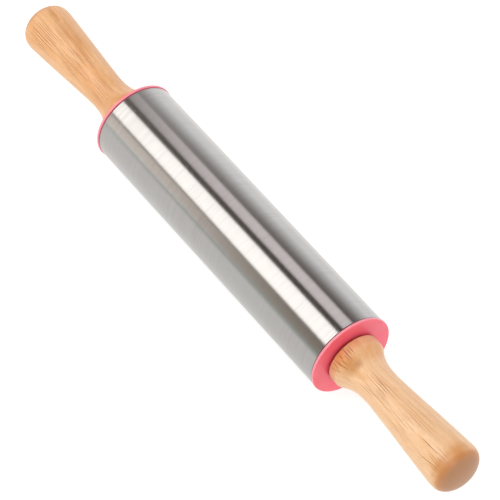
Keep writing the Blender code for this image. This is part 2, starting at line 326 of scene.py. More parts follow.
def addAreaLight(name, shape, tint):
    light = linkObject(name, bpy.data.lights.new(name, "AREA"))
    light.data.shape = shape
    light.data.color = linearFromHex(tint)[:3]
    light.visible_camera = False
    return light


def addSoftbox(name, look):
    angle = math.radians(look["around"])
    outwards = Vector((0, math.cos(angle), math.sin(angle)))
    along = Vector((1, 0, 0))
    middle = (look["start"] + look["end"]) / 2
    turn = Matrix((along, outwards.cross(along), outwards)).transposed().to_4x4()
    light = addAreaLight(name, "RECTANGLE", look["tint"])
    light.data.size = look["end"] - look["start"]
    light.data.size_y = 2 * softboxDistance * math.tan(math.radians(look["width"] / 2))
    light.data.energy = wattsPerGlow * look["glow"] * light.data.size * light.data.size_y
    light.matrix_world = Matrix.Translation(outwards * softboxDistance + along * middle) @ turn


def addFrontFill(look):
    # lights the near cap's face and the near handle's dome, and faces the middle of the pin
    light = addAreaLight("frontFill", "DISK", look["tint"])
    light.data.size = look["size"]
    light.data.energy = wattsPerGlow * look["glow"] * math.pi * (look["size"] / 2) ** 2
    light.location = look["place"]
    light.rotation_euler = Vector(look["place"]).to_track_quat("Z", "Y").to_euler()


def paintBackdrop(look):
    world = bpy.data.worlds.new("studioBackdrop")
    world.use_nodes = True
    tree = world.node_tree
    background = tree.nodes["Background"]
    background.inputs["Strength"].default_value = look["brightest"]
    direction = addNode(tree, "TexCoord")
    parts = addNode(tree, "SeparateXYZ", links={"Vector": direction.outputs["Generated"]})
    ramps = []
    for stopsName in ("before", "behind"):
        stops = []
        for height, glow, tint in look[stopsName]:
            share = glow / look["brightest"]
            stops.append((height, [channel * share for channel in linearFromHex(tint)[:3]] + [1.0]))
        ramps.append(addNode(tree, "ValToRGB", links={"Fac": parts.outputs["Z"]}, stops=stops))
    towards = addNode(
        tree, "MapRange", {"From Min": -look["change"], "From Max": look["change"]},
        {"Value": parts.outputs["Y"]}, interpolation_type="SMOOTHSTEP",
    )
    blended = addNode(
        tree, "MixRGB",
        links={"Fac": towards.outputs[0], "Color1": ramps[0].outputs[0], "Color2": ramps[1].outputs[0]},
    )
    tree.links.new(blended.outputs[0], background.inputs["Color"])
    bpy.context.scene.world = world


table = {
    "size": 7.0,
    "tones": ((0.3, "#a3a3a3"), (0.7, "#a6a6a6")),
    "mottleScale": 6.0,  # per metre: clouds about 170 mm across, from sheet that is never quite even
    "glow": (0.64, 0.90),  # in front of the pin and behind it
    "change": 0.12,
}


def layTable(look):
    # opal acrylic light table, matt and lit from below, a little more behind the pin: a white floor
    # with next to no shadow
    shape = bmesh.new()
    bmesh.ops.create_grid(shape, x_segments=1, y_segments=1, size=look["size"] / 2)
    floor = linkObject("lightTable", meshFrom(shape, "lightTable"))
    floor.location.z = floorHeight
    material, tree, shader, place = startMaterial("mattOpalAcrylic", {
        "Roughness": 0.9,
        "Specular IOR Level": 0.1,
        "Emission Color": linearFromHex("#ffffff"),
    })
    mottle = addNode(tree, "TexNoise", {"Scale": look["mottleScale"], "Detail": 2.0}, {"Vector": place})
    colour = addNode(
        tree, "ValToRGB", links={"Fac": mottle.outputs["Fac"]}, stops=rampStops(look["tones"]),
    )
    parts = addNode(tree, "SeparateXYZ", links={"Vector": place})
    glow = addNode(
        tree, "MapRange",
        {
            "From Min": -look["change"], "From Max": look["change"],
            "To Min": look["glow"][0], "To Max": look["glow"][1],
        },
        {"Value": parts.outputs["Y"]}, interpolation_type="SMOOTHSTEP",
    )
    tree.links.new(glow.outputs[0], shader.inputs["Emission Strength"])
    tree.links.new(colour.outputs[0], shader.inputs["Base Color"])
    floor.data.materials.append(material)


for boxName, boxLook in softboxes.items():
    addSoftbox(boxName, boxLook)
addFrontFill(frontFill)
paintBackdrop(backdrop)
layTable(table)
bpy.context.scene.view_settings.view_transform = "Standard"
print("studio lit")


# Barrel tube

# in every look below: tones are two colours and where in the pattern they sit, roughness is its value
# where the pattern is low and where it is high, and relief is how far the pattern stands out in metres
barrel = {
    "radius": 0.02495,  # the round that lies midway between the flats and the corners of the frame's facets
    "wall": 0.0010,
    "edgeBreak": 0.0005,
    "edgeSteps": 5,
    "segments": 256,
    "tones": ((0.35, "#aba9a7"), (0.65, "#b3b2b0")),
    "roughness": (0.26, 0.22),
    # mm along X and round it: grit lines are 0.05 mm apart, too fine to show, and are drawn coarser
    "marks": (0.30, 40.0),
    "relief": 0.0000025,
    "cloudColour": "#b1b1ae",
    "cloudSize": 22.0,  # mm, the slow change of tone along a hand-fed brush
    "cloudBand": (0.45, 0.7),  # where in its pattern a cloud starts and is full
    "cloudShare": 0.6,
}
markBand = (0.3, 0.7)  # where in the tool marks the gloss changes


def toolMarks(tree, place, marks):
    # noise drawn out into lines, of a size in mm along X and round it
    along, around = marks
    stretched = addNode(
        tree, "Mapping", {"Scale": (1000 / along, 1000 / around, 1000 / around)}, {"Vector": place},
    )
    return addNode(
        tree, "TexNoise", {"Scale": 1.0, "Detail": 3.0, "Roughness": 0.6},
        {"Vector": stretched.outputs[0]},
    ).outputs["Fac"]


def brushedStainless(name, look):
    # 18/8 stainless tube, brushed round and round on a lathe: strips of light stay sharp across the
    # tube and smear along it, with fine rings on top
    material, tree, shader, place = startMaterial(name, {"Metallic": 1.0, "Anisotropic": 0.87})
    lines = toolMarks(tree, place, look["marks"])
    lined = addNode(tree, "ValToRGB", links={"Fac": lines}, stops=rampStops(look["tones"]))
    clouds = addNode(
        tree, "TexNoise", {"Scale": 1000 / look["cloudSize"], "Detail": 2.0}, {"Vector": place},
    )
    start, full = look["cloudBand"]
    cloudShare = addNode(
        tree, "MapRange", {"From Min": start, "From Max": full, "To Max": look["cloudShare"]},
        {"Value": clouds.outputs["Fac"]},
    )
    colour = layColours(tree, lined.outputs[0], [(cloudShare.outputs[0], look["cloudColour"])])
    finishSurface(tree, shader, look, colour, lines, markBand)
    tangent = addNode(tree, "Tangent", direction_type="UV_MAP", uv_map="turned")
    tree.links.new(tangent.outputs[0], shader.inputs["Tangent"])
    return material


def barrelOutline(size):
    bore = size["radius"] - size["wall"]
    edge = size["edgeBreak"]
    steps = size["edgeSteps"]
    points = [(-barrelEnd, bore)]
    points += arcPoints(-barrelEnd + edge, size["radius"] - edge, edge, 180, 90, steps)
    points += arcPoints(barrelEnd - edge, size["radius"] - edge, edge, 90, 0, steps)
    return points + [(barrelEnd, bore)]


barrelSteel = brushedStainless("brushedStainlessSteel", barrel)
barrelMesh = turnedMesh("barrelTube", barrelOutline(barrel), barrel["segments"])
putPiece("barrel_tube", barrelMesh, barrelSteel)
print("barrel turned and brushed")


# End caps

endCap = {
    "rim": 0.02532,  # the frame's facets end here, so the round one stays inside its box
    "flange": 0.0017,
    "rimRound": 0.0006,
    "backBreak": 0.0006,
    "skirtDepth": 0.0140,
    "skirtRadius": 0.0237,
    "skirtWall": 0.0020,
    "leadIn": 0.0008,
    "hubRadius": 0.01350,
    "pocketRadius": 0.01130,
    "hubDepth": 0.0105,
    "lipDepth": 0.0012,
    "lipCatch": 0.0008,
    "hole": 0.0061,
    "holeRound": 0.0003,
    "ribs": 6,
    "ribThickness": 0.0016,
    "ribDepth": 0.0060,
    "bite": 0.0004,
    "rimSteps": 10,
    "edgeSteps": 4,
    "segments": 192,
    "tones": ((0.3, "#ec556b"), (0.75, "#ee6277")),
    "cloudScale": 70.0,  # per metre: clouds of tone about 14 mm across, from uneven cooling in the mould
    "rimHighlightColour": "#f79caa",  # painted highlight: paler towards the rim's outer edge
    "rimHighlightWidth": 0.0006,
    "rimHighlightShare": 0.75,
    "jointShadeColour": "#6c2438",  # painted shade along the line where the cap meets the tube
    "jointShadeWidth": 0.0003,
    "jointShadeShares": {"right": 0.95, "left": 0.12},  # how strong the painted joint shade is: strong on the near cap, faint on the far one
    "roughness": (0.38, 0.46),
    "grain": 0.35,  # mm; the spark-eroded mould grain is nearer 0.05 mm, drawn coarser to show at all
    "relief": 0.000004,
}


def mouldedCoralPlastic(name, look, jointShadeShare):
    # injection-moulded polypropylene with a fine matt mould grain: even coral pink, soft wide highlight, with
    # a painted highlight along the rim and painted shade where the cap meets the tube
    material, tree, shader, place = startMaterial(name, {
        "IOR": 1.49,
        "Subsurface Weight": 0.2,
        "Subsurface Scale": 0.002,
        "Subsurface Radius": (1.0, 0.35, 0.3),
        "Coat Weight": 0.3,  # the moulded skin: a crisper light along the rim than the matt face gives
        "Coat Roughness": 0.12,
    })
    clouds = addNode(tree, "TexNoise", {"Scale": look["cloudScale"], "Detail": 2.0}, {"Vector": place})
    grain = addNode(
        tree, "TexNoise", {"Scale": 1000 / look["grain"], "Detail": 2.0}, {"Vector": place},
    )
    even = addNode(
        tree, "ValToRGB", links={"Fac": clouds.outputs["Fac"]}, stops=rampStops(look["tones"]),
    )
    across = addNode(tree, "VectorMath", {1: (0.0, 1.0, 1.0)}, {0: place}, operation="MULTIPLY")
    radius = addNode(tree, "VectorMath", links={0: across.outputs[0]}, operation="LENGTH")
    # painted highlight: the colour turns paler over the last part of the radius, at the rim
    paintedRimHighlight = addNode(
        tree, "MapRange",
        {"From Min": look["rim"] - look["rimHighlightWidth"], "From Max": look["rim"], "To Max": look["rimHighlightShare"]},
        {"Value": radius.outputs["Value"]}, interpolation_type="SMOOTHSTEP",
    )
    parts = addNode(tree, "SeparateXYZ", links={"Vector": place})
    # painted shade: darker towards the flange's back, where the cap meets the tube
    paintedJointShade = addNode(
        tree, "MapRange",
        {"From Min": look["jointShadeWidth"] - look["flange"], "From Max": -look["flange"], "To Max": jointShadeShare},
        {"Value": parts.outputs["X"]},
    )
    # over the even pink: the painted rim highlight, then the painted joint shade
    layers = [(paintedRimHighlight.outputs[0], look["rimHighlightColour"]), (paintedJointShade.outputs[0], look["jointShadeColour"])]
    colour = layColours(tree, even.outputs[0], layers)
    finishSurface(tree, shader, look, colour, grain.outputs["Fac"])
    return material


def capOutline(size):
    # from the hole over the flange's rim, down the skirt and the hub, and back through the pocket
    back = -size["flange"]
    skirtEnd = back - size["skirtDepth"]
    skirt = size["skirtRadius"]
    bore = skirt - size["skirtWall"]
    pocket = size["pocketRadius"]
    lip = pocket - size["lipCatch"]
    hub = size["hubRadius"]
    hubEnd = -size["hubDepth"]
    lipEnd = hubEnd + size["lipDepth"]
    lead = size["leadIn"]
    edge = size["backBreak"]
    rimRound = size["rimRound"]
    holeRound = size["holeRound"]
    points = arcPoints(-holeRound, size["hole"] + holeRound, holeRound, -90, 0, size["edgeSteps"])
    points += arcPoints(-rimRound, size["rim"] - rimRound, rimRound, 0, 90, size["rimSteps"])
    points += arcPoints(back + edge, size["rim"] - edge, edge, 90, 180, size["edgeSteps"])
    points += [(back, skirt), (skirtEnd + lead, skirt), (skirtEnd, skirt - lead), (skirtEnd, bore)]
    points += [(back, bore), (back, hub), (hubEnd, hub), (hubEnd, pocket)]
    points += [(hubEnd + size["lipDepth"] / 2, lip), (lipEnd, lip), (lipEnd, pocket), (back, pocket)]
    return points + [(back, size["hole"])]


def ribMesh(size):
    # ribs between hub and skirt, each biting a little into what it joins
    bore = size["skirtRadius"] - size["skirtWall"]
    reach = bore - size["hubRadius"] + 2 * size["bite"]
    middle = (bore + size["hubRadius"]) / 2
    depth = size["ribDepth"] + size["bite"]
    shift = Matrix.Translation((-size["flange"] + size["bite"] - depth / 2, 0, middle))
    stretch = Matrix.Diagonal((depth, size["ribThickness"], reach, 1))
    shape = bmesh.new()
    for i in range(size["ribs"]):
        turn = Matrix.Rotation(math.tau * i / size["ribs"], 4, "X")
        bmesh.ops.create_cube(shape, size=1, matrix=turn @ shift @ stretch)
    return meshFrom(shape, "capRibs")


for endName, side in ends:
    # the two ends' materials differ only in how strong their painted joint shade is
    plasticName = "mouldedCoralPolypropylene" + endName.title()
    capPlastic = mouldedCoralPlastic(plasticName, endCap, endCap["jointShadeShares"][endName])
    plainCap = turnedMesh("endCap", capOutline(endCap), endCap["segments"])
    capMesh = joinOrCut(plainCap, ribMesh(endCap), "UNION")
    putPiece("end_cap_" + endName, capMesh, capPlastic, side)
print("end caps moulded")


# Handles

handle = {
    "footRound": 0.0006,
    "collarRadius": 0.0159,
    "collarLength": 0.0073,
    "collarRound": 0.0040,
    "collarTurn": 34.0,  # degrees of rounding before the cove takes over
    "neckRadius": 0.01075,
    "neckDistance": 0.0270,
    "gripRadius": 0.0151,
    "gripStraight": 0.0023,
    "swellBend": 0.13,  # from 0, a straight taper, to 1, a full wave
    "domeLength": 0.0093,
    "domeFullness": 2.18,  # 2 is a plain ellipse
    "washerPocket": 0.0078,
    "washerPocketDepth": 0.0015,
    "insertBore": 0.0065,
    "insertDepth": 0.0183,
    "pilotBore": 0.0043,
    "pilotDepth": 0.0040,
    "drillPoint": 0.0024,
    "roundSteps": 6,
    "coveSteps": 24,
    "gripSteps": 30,
    "domeSteps": 24,
    "segments": 160,
}

woods = {
    # each handle is its own piece of wood: offset moves the grain in mm, tilt leans it in degrees, and
    # fibres, patches and pores are how strongly those show
    # streaks and stains lie at mm from the cap's face and degrees round from +Y over the top; the far
    # end's degrees are seen from that end
    "right": {
        "offset": (0, 14, -21),
        "tilt": (0, 1.5, -2.0),
        "tones": ((0.56, "#e4b582"), (0.96, "#fad8b0")),
        "ring": "#d9a46c",
        "fibres": 0.24,
        "patches": 0.45,
        "pores": 0.32,
        "seed": 5,
        "streaks": [
            # from, to, round, degrees of drift, mm to each side, strength, how many, degrees of spread
            (69.0, 86.0, 122.5, -3, 0.27, 1.00, 1, 0),
            (74.5, 88.5, 147.5, -11, 0.26, 0.95, 1, 0),
            (17.0, 46.0, 124.0, 0, 0.17, 0.75, 16, 58),
            (1.6, 11.0, 134.0, 0, 0.26, 1.00, 12, 56),
            (44.0, 70.0, 132.0, 2, 0.21, 0.55, 8, 56),
            (78.0, 92.0, 132.0, 0, 0.24, 0.55, 7, 40),
            (40.0, 84.0, 88.0, 0, 0.20, 0.40, 7, 44),
        ],
        "stains": [
            # at, round, mm to each side along the handle, mm to each side round it, strength, colour
            (11.0, 56.0, 7.0, 10.0, 0.80, "#dc8f3e"),
            (4.5, 128.0, 8.0, 13.0, 0.80, "#dd8f42"),
            (11.8, 131.0, 4.6, 8.5, 0.62, "#bd7a26"),
            (13.4, 117.0, 2.4, 3.0, 0.50, "#a9651c"),
            (89.5, 128.0, 4.2, 13.0, 0.58, "#c17a2f"),
            (88.5, 88.0, 4.5, 12.0, 0.48, "#cf8840"),
        ],
    },
    "left": {
        "offset": (500, -17, -19),
        "tilt": (0, -1.0, 2.5),
        "tones": ((0.56, "#d69a60"), (0.96, "#f3c897")),
        "ring": "#cf9156",
        "fibres": 0.60,
        "patches": 0.70,
        "pores": 0.42,
        "seed": 3,
        "streaks": [
            (54.0, 93.0, 42.0, 2, 0.24, 0.70, 14, 54),
            (32.0, 66.0, 56.0, 3, 0.22, 0.65, 14, 70),
            (10.0, 40.0, 55.0, 0, 0.22, 0.50, 9, 60),
            (44.0, 92.0, 94.0, 4, 0.22, 0.35, 12, 44),
        ],
        "stains": [
            (84.0, 96.0, 7.0, 1.4, 0.55, "#c4762b"),
            (66.0, 90.0, 9.0, 1.6, 0.40, "#cb8036"),
            (6.0, 56.0, 7.0, 17.0, 0.55, "#d38c44"),
        ],
    },
}

rubberwood = {
    # what the two handles have in common: each pattern's size in mm, along the grain and across it
    "sizes": {
        "bands": (150.0, 5.5),
        "fibres": (30.0, 0.55),
        "patches": (26.0, 8.0),
        "longPores": (13.0, 0.80),
        "shortPores": (5.0, 0.62),
        "flecks": (2.2, 0.50),
    },
    "noises": {
        "bands": {"Detail": 2.0, "Roughness": 0.5},
        "fibres": {"Detail": 4.0, "Roughness": 0.65},
        "patches": {"Detail": 3.0, "Distortion": 0.5},
    },
    "wander": 0.045,  # per mm: the grain sways over about 22 mm
    "sway": 3.5,  # mm
    "bandShare": 0.55,  # what the bands add to the fibres' tone
    # growth rings 3.5 mm apart round a heart that lies beside the handle
    "rings": {
        "Scale": 0.09, "Distortion": 2.6, "Detail": 2.0, "Detail Scale": 0.07, "Detail Roughness": 0.55,
    },
    "ringShare": 0.28,
    # where in its pattern each starts to show and where it is full, and its colour
    "figure": {"fibres": (0.52, 0.68, "#c78848"), "patches": (0.52, 0.74, "#dc9c58")},
    # how far the surface faces along the handle where each tone starts and is full, strength, colour
    "endGrain": ((0.18, 0.56, 0.85, "#bd7431"), (0.56, 0.93, 0.88, "#a67750")),
    "endGrainOffDome": 0.12,
    "stainEdge": (1.25, 0.15),  # where it starts and is full; 1 is the edge of the mark
    "stainMottle": 1.7,  # what makes up for the tone that the patches take
    # kind, half its width as a share of its size, colour
    "pores": (("longPores", 0.17, "#a8672f"), ("shortPores", 0.20, "#b06c35"), ("flecks", 0.22, "#bd7c42")),
    "poreEdge": (1.5, 0.6),  # starts and is full, in those half widths
    "poreChance": (0.35, 0.95),  # cells drawn below the first have no pore, above the second a full one
    "streakColour": "#894310",
    "streakEdge": (1.1, 0.5),
    "streakFibres": (0.35, 0.6),  # full on the dense fibres
    "streakFaint": 0.6,  # what is left of it between them
    "bundleStray": 20,  # in a bundle, each streak strays by up to a 20th of the spread
    "bundleShift": 0.35,
    "bundleReach": (0.35, 0.8),
    "roughness": (0.42, 0.58),
    "relief": 0.00002,
}
markRadius = 0.014  # of the handle, where a mark's drift is measured
farSidePush = 9.0  # puts the far side of the handle out of a mark's reach


def placeOnHandle(tree, place, at, turnedTo, reach, wide, drift=0.0):
    # distance from a mark, 1 at its edge: at and reach in mm along the handle, turnedTo in degrees,
    # wide in mm to each side round it, drift in degrees gained from one end of the mark to the other
    lean = math.atan2(math.radians(drift) * markRadius, 2 * reach / 1000)
    turned = addNode(
        tree, "VectorRotate", {"Angle": math.radians(90 - turnedTo)}, {"Vector": place},
        rotation_type="X_AXIS",
    )
    moved = addNode(
        tree, "Mapping", {"Location": (-at / 1000, 0, 0)}, {"Vector": turned.outputs[0]},
    )
    leaned = addNode(
        tree, "VectorRotate", {"Angle": lean}, {"Vector": moved.outputs[0]}, rotation_type="Z_AXIS",
    )
    scaled = addNode(
        tree, "VectorMath", {1: (1000 / reach, 1000 / wide, 1.0)}, {0: leaned.outputs[0]},
        operation="MULTIPLY",
    )
    parts = addNode(tree, "SeparateXYZ", links={"Vector": scaled.outputs[0]})
    under = addNode(tree, "Math", {1: 0.0}, {0: parts.outputs["Z"]}, operation="LESS_THAN")
    flat = addNode(
        tree, "CombineXYZ",
        links={"X": parts.outputs["X"], "Y": parts.outputs["Y"], "Z": under.outputs[0]},
    )
    pushed = addNode(
        tree, "VectorMath", {1: (1.0, 1.0, farSidePush)}, {0: flat.outputs[0]}, operation="MULTIPLY",
    )
    return addNode(
        tree, "VectorMath", links={0: pushed.outputs[0]}, operation="LENGTH",
    ).outputs["Value"]


def grownSpace(tree, place, wood):
    # the board that the handle was turned from, in mm, with its grain swaying slowly
    board = addNode(
        tree, "Mapping",
        {
            "Location": wood["offset"],
            "Rotation": [math.radians(angle) for angle in wood["tilt"]],
            "Scale": (1000, 1000, 1000),
        },
        {"Vector": place},
    ).outputs[0]
    wander = addNode(
        tree, "TexNoise", {"Scale": rubberwood["wander"], "Detail": 1.0}, {"Vector": board},
    )
    sway = addNode(
        tree, "VectorMath", {1: (0.0, rubberwood["sway"], rubberwood["sway"])},
        {0: wander.outputs["Color"]}, operation="MULTIPLY",
    )
    return addNode(
        tree, "VectorMath", links={0: board, 1: sway.outputs[0]}, operation="ADD",
    ).outputs[0]


def figureLayers(tree, grown, noise, wood):
    # growth rings, dark fibres and golden patches
    rings = addNode(
        tree, "TexWave", rubberwood["rings"], {"Vector": grown},
        wave_type="RINGS", rings_direction="X", wave_profile="SAW",
    )
    ringShare = addNode(
        tree, "Math", {1: rubberwood["ringShare"]}, {0: rings.outputs["Fac"]}, operation="MULTIPLY",
    )
    layers = [(ringShare.outputs[0], wood["ring"])]
    for pattern, (start, full, code) in rubberwood["figure"].items():
        shown = addNode(
            tree, "MapRange", {"From Min": start, "From Max": full, "To Max": wood[pattern]},
            {"Value": noise[pattern]},
        )
        layers.append((shown.outputs[0], code))
    return layers


def endGrainLayers(tree, place):
    # end grain soaks up the lacquer and looks darker: it shows where the dome faces along the grain
    parts = addNode(tree, "SeparateXYZ", links={"Vector": place})
    onDome = addNode(
        tree, "MapRange",
        {
            "From Min": handleTip - handle["domeLength"], "From Max": handleTip - handle["domeLength"] / 2,
            "To Min": rubberwood["endGrainOffDome"],
        },
        {"Value": parts.outputs["X"]},
    )
    facing = addNode(tree, "SeparateXYZ", links={"Vector": place.node.outputs["Normal"]})
    turned = addNode(tree, "Math", links={0: facing.outputs["X"]}, operation="ABSOLUTE")
    layers = []
    for start, full, strength, code in rubberwood["endGrain"]:
        endGrain = addNode(
            tree, "MapRange", {"From Min": start, "From Max": full, "To Max": strength},
            {"Value": turned.outputs[0]}, interpolation_type="SMOOTHSTEP",
        )
        soaked = addNode(
            tree, "Math", links={0: endGrain.outputs[0], 1: onDome.outputs[0]}, operation="MULTIPLY",
        )
        layers.append((soaked.outputs[0], code))
    return layers


def stainLayers(tree, place, patches, stains):
    # soft round clouds of darker wood, mottled like the patches
    start, full = rubberwood["stainEdge"]
    layers = []
    for at, turnedTo, reach, wide, strength, code in stains:
        soft = addNode(
            tree, "MapRange", {"From Min": start, "From Max": full, "To Max": strength},
            {"Value": placeOnHandle(tree, place, at, turnedTo, reach, wide)}, interpolation_type="SMOOTHSTEP",
        )
        mottled = addNode(tree, "Math", links={0: soft.outputs[0], 1: patches}, operation="MULTIPLY")
        shown = addNode(
            tree, "Math", {1: rubberwood["stainMottle"]}, {0: mottled.outputs[0]},
            operation="MULTIPLY",
        )
        layers.append((shown.outputs[0], code))
    return layers


def poreLayers(tree, space, strength):
    # pores: cut open lengthwise they are thin dark dashes, and dots on the dome
    edgeStart, edgeFull = rubberwood["poreEdge"]
    chanceStart, chanceFull = rubberwood["poreChance"]
    layers = []
    for kind, width, code in rubberwood["pores"]:
        cells = addNode(tree, "TexVoronoi", {"Scale": 1.0}, {"Vector": space[kind]})
        chance = addNode(tree, "SeparateXYZ", links={"Vector": cells.outputs["Color"]})
        inside = addNode(
            tree, "MapRange", {"From Min": width * edgeStart, "From Max": width * edgeFull},
            {"Value": cells.outputs["Distance"]},
        )
        chosen = addNode(
            tree, "MapRange", {"From Min": chanceStart, "From Max": chanceFull, "To Max": strength},
            {"Value": chance.outputs["X"]},
        )
        pores = addNode(
            tree, "Math", links={0: inside.outputs[0], 1: chosen.outputs[0]}, operation="MULTIPLY",
        )
        layers.append((pores.outputs[0], code))
    return layers


def streakLayers(tree, place, fibres, wood):
    # mineral streaks: long thin brown lines, single or in bundles, broken up by the fibres
    dice = random.Random(wood["seed"])
    shift = rubberwood["bundleShift"]
    edgeStart, edgeFull = rubberwood["streakEdge"]
    start, full = rubberwood["streakFibres"]
    broken = addNode(
        tree, "MapRange", {"From Min": start, "From Max": full, "To Min": rubberwood["streakFaint"]},
        {"Value": fibres},
    )
    layers = []
    for first, last, turnedTo, drift, wide, strength, count, spread in wood["streaks"]:
        for i in range(count):
            share = (i + 0.5) / count - 0.5
            stray = dice.uniform(-1, 1) * spread / rubberwood["bundleStray"]
            middle = (first + last) / 2
            reach = (last - first) / 2
            if count > 1:
                middle += dice.uniform(-shift, shift) * reach
                reach *= dice.uniform(*rubberwood["bundleReach"])
            there = placeOnHandle(tree, place, middle, turnedTo + spread * share + stray, reach, wide, drift)
            line = addNode(
                tree, "MapRange", {"From Min": edgeStart, "From Max": edgeFull, "To Max": strength},
                {"Value": there},
            )
            shown = addNode(
                tree, "Math", links={0: line.outputs[0], 1: broken.outputs[0]}, operation="MULTIPLY",
            )
            layers.append((shown.outputs[0], rubberwood["streakColour"]))
    return layers


def lacqueredRubberwood(name, wood):
    # plantation rubberwood, turned, sanded and given a thin clear satin lacquer: pale tan, straight grain,
    # fine dark pores drawn out along the handle, darker orange-brown end grain on the dome
    material, tree, shader, place = startMaterial(name, {"Coat Weight": 0.4, "Coat Roughness": 0.34})
    grown = grownSpace(tree, place, wood)
    space = {}
    for pattern, (along, across) in rubberwood["sizes"].items():
        space[pattern] = addNode(
            tree, "Mapping", {"Scale": (1 / along, 1 / across, 1 / across)}, {"Vector": grown},
        ).outputs[0]
    noise = {}
    for pattern, settings in rubberwood["noises"].items():
        noise[pattern] = addNode(
            tree, "TexNoise", {"Scale": 1.0, **settings}, {"Vector": space[pattern]},
        ).outputs["Fac"]
    tone = addNode(
        tree, "Math", {1: rubberwood["bandShare"]}, {0: noise["bands"], 2: noise["fibres"]},
        operation="MULTIPLY_ADD",
    )
    base = addNode(tree, "ValToRGB", links={"Fac": tone.outputs[0]}, stops=rampStops(wood["tones"]))
    pores = poreLayers(tree, space, wood["pores"])
    layers = figureLayers(tree, grown, noise, wood) + endGrainLayers(tree, place)
    layers += stainLayers(tree, place, noise["patches"], wood["stains"]) + pores
    layers += streakLayers(tree, place, noise["fibres"], wood)
    colour = layColours(tree, base.outputs[0], layers)

    # the long and the short pores are pits between the raised fibres
    pits = addNode(tree, "Math", links={0: pores[0][0], 1: pores[1][0]}, operation="ADD")
    relief = addNode(
        tree, "Math", {1: -1.0}, {0: pits.outputs[0], 2: noise["fibres"]}, operation="MULTIPLY_ADD",
    )
    finishSurface(tree, shader, rubberwood, colour, noise["fibres"], relief=relief.outputs[0])
    return material


def handleOutline(size):
    # bores from the drill point out to the foot, then collar, cove, swelling grip and low dome
    foot = handleFoot
    washerEnd = foot + size["washerPocketDepth"]
    insertEnd = washerEnd + size["insertDepth"]
    pilotEnd = insertEnd + size["pilotDepth"]
    points = [(pilotEnd + size["drillPoint"], 0), (pilotEnd, size["pilotBore"])]
    points += [(insertEnd, size["pilotBore"]), (insertEnd, size["insertBore"])]
    points += [(washerEnd, size["insertBore"]), (washerEnd, size["washerPocket"])]
    points.append((foot, size["washerPocket"]))

    steps = size["roundSteps"]
    footRound = size["footRound"]
    collarRound = size["collarRound"]
    turn = math.radians(size["collarTurn"])
    roundStart = foot + size["collarLength"] - collarRound * math.sin(turn)
    points += arcPoints(foot + footRound, size["collarRadius"] - footRound, footRound, 180, 90, steps)
    points += arcPoints(
        roundStart, size["collarRadius"] - collarRound, collarRound, 90, 90 - size["collarTurn"], steps,
    )

    # the cove leaves the collar at the slope of its rounding and runs level into the neck
    neck = foot + size["neckDistance"]
    neckRadius = size["neckRadius"]
    coveStart, coveEdge = points[-1]
    coveLength = neck - coveStart
    depth = coveEdge - neckRadius
    sweep = math.tan(turn) * coveLength / depth
    for i in range(1, size["coveSteps"] + 1):
        share = i / size["coveSteps"]
        points.append((coveStart + coveLength * share, neckRadius + depth * (1 - share) ** sweep))

    domeStart = handleTip - size["domeLength"]
    gripLength = domeStart - size["gripStraight"] - neck
    rise = size["gripRadius"] - neckRadius
    for i in range(1, size["gripSteps"] + 1):
        share = i / size["gripSteps"]
        wave = (1 - math.cos(math.pi * share)) / 2
        swell = share + (wave - share) * size["swellBend"]
        points.append((neck + gripLength * share, neckRadius + rise * swell))

    power = 2 / size["domeFullness"]
    for i in range(size["domeSteps"]):
        angle = math.pi / 2 * i / size["domeSteps"]
        x = domeStart + size["domeLength"] * math.sin(angle) ** power
        points.append((x, size["gripRadius"] * math.cos(angle) ** power))
    return points + [(handleTip, 0)]


for endName, side in ends:
    wood = lacqueredRubberwood("lacqueredRubberwood." + endName, woods[endName])
    handleMesh = turnedMesh("handle", handleOutline(handle), handle["segments"])
    putPiece("handle_" + endName, handleMesh, wood, side)
print("handles turned")


# Axle rod, with a retaining ring in a groove near each end of the barrel

bearingWidth = 0.0070
bearingOutboard = -endCap["flange"] - seatGap  # from the cap's face
bearingMiddle = bearingOutboard - bearingWidth / 2
clipOutboard = bearingOutboard - bearingWidth - seatGap

axle = {
    "radius": 0.0040,
    "bore": 0.0043,  # of everything that slides on it
    "grooveDepth": 0.0005,
    "chamfer": 0.0006,
    "threadPitch": 0.00125,
    "threadDepth": 0.0005,
    "segments": 64,
    "tones": ((0.32, "#a5a6a9"), (0.66, "#bfbfc1")),
    "roughness": (0.34, 0.22),
    "marks": (30.0, 0.10),  # mm along X and round it: die lines, drawn twice as coarse as they are
    "relief": 0.000003,
}
retainingRing = {
    "thickness": 0.0010,
    "prong": 0.0038,
    "between": 0.0048,  # inner radius between the prongs
    "outer": 0.0064,
    "opening": 36.0,  # degrees from the middle of the opening to the first prong
    "prongWidth": 18.0,
    "edge": 0.00012,
    "outerSteps": 60,
    "innerSteps": 10,
    "tones": ((0.1, "#3c3b39"), (0.6, "#2b2b2c")),
    "roughness": (0.42, 0.62),
    "crystals": 0.25,  # mm; phosphate crystals are near 0.02 mm, drawn coarser to show at all
    "relief": 0.000006,
}
threadShares = (0.15, 0.5, 0.65)  # of the pitch: the crest's end, and the root's start and end


def followPattern(tree, shader, look, pattern, band=(0.0, 1.0)):
    # tone, gloss and relief all follow one pattern
    tone = addNode(tree, "ValToRGB", links={"Fac": pattern}, stops=rampStops(look["tones"]))
    finishSurface(tree, shader, look, tone.outputs[0], pattern, band)


def markedMetal(name, look):
    # bare metal with fine tool marks
    material, tree, shader, place = startMaterial(name, {"Metallic": 1.0})
    followPattern(tree, shader, look, toolMarks(tree, place, look["marks"]), markBand)
    return material


def phosphatedSpringSteel(name, look):
    # stamped spring steel, phosphated and oiled: charcoal, grainy, with a low greasy shine
    material, tree, shader, place = startMaterial(name, {"Metallic": 0.7})
    crystals = addNode(tree, "TexVoronoi", {"Scale": 1000 / look["crystals"]}, {"Vector": place})
    followPattern(tree, shader, look, crystals.outputs["Distance"])
    return material


